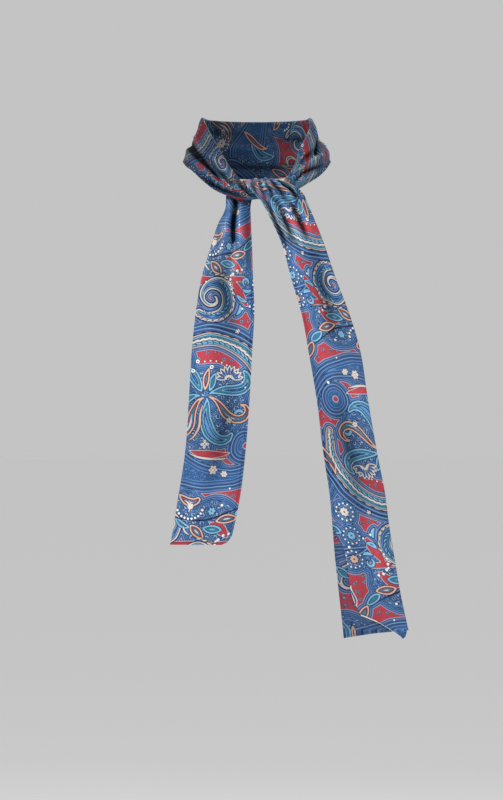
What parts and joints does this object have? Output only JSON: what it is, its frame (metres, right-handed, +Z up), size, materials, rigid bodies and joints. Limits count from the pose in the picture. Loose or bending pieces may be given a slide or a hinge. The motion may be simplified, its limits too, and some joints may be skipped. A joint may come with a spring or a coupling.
{
  "type": "silk scarf",
  "caption": "Long printed silk scarf folded lengthwise, laid round a neck and tied in front with a half knot, its two flat tails hanging down the chest.",
  "frame": {"origin": "on the neck band's inner face at the middle of the back of the neck, where the wearer's nape holds it", "axes": "+Z up, the front of the scarf faces -Y, +X to the right as seen from the front"},
  "size_m": [0.3134, 0.2009, 0.6974],
  "materials": {
    "printed_silk": "woven silk twill with a soft sheen, printed with paisley in blue, red and cream"
  },
  "bodies": {
    "root": {"tail_left": "printed_silk", "strand_right": "printed_silk", "neck_band": "printed_silk", "strand_left": "printed_silk", "knot_wrap": "printed_silk", "tail_right": "printed_silk"}
  },
  "joints": []
}
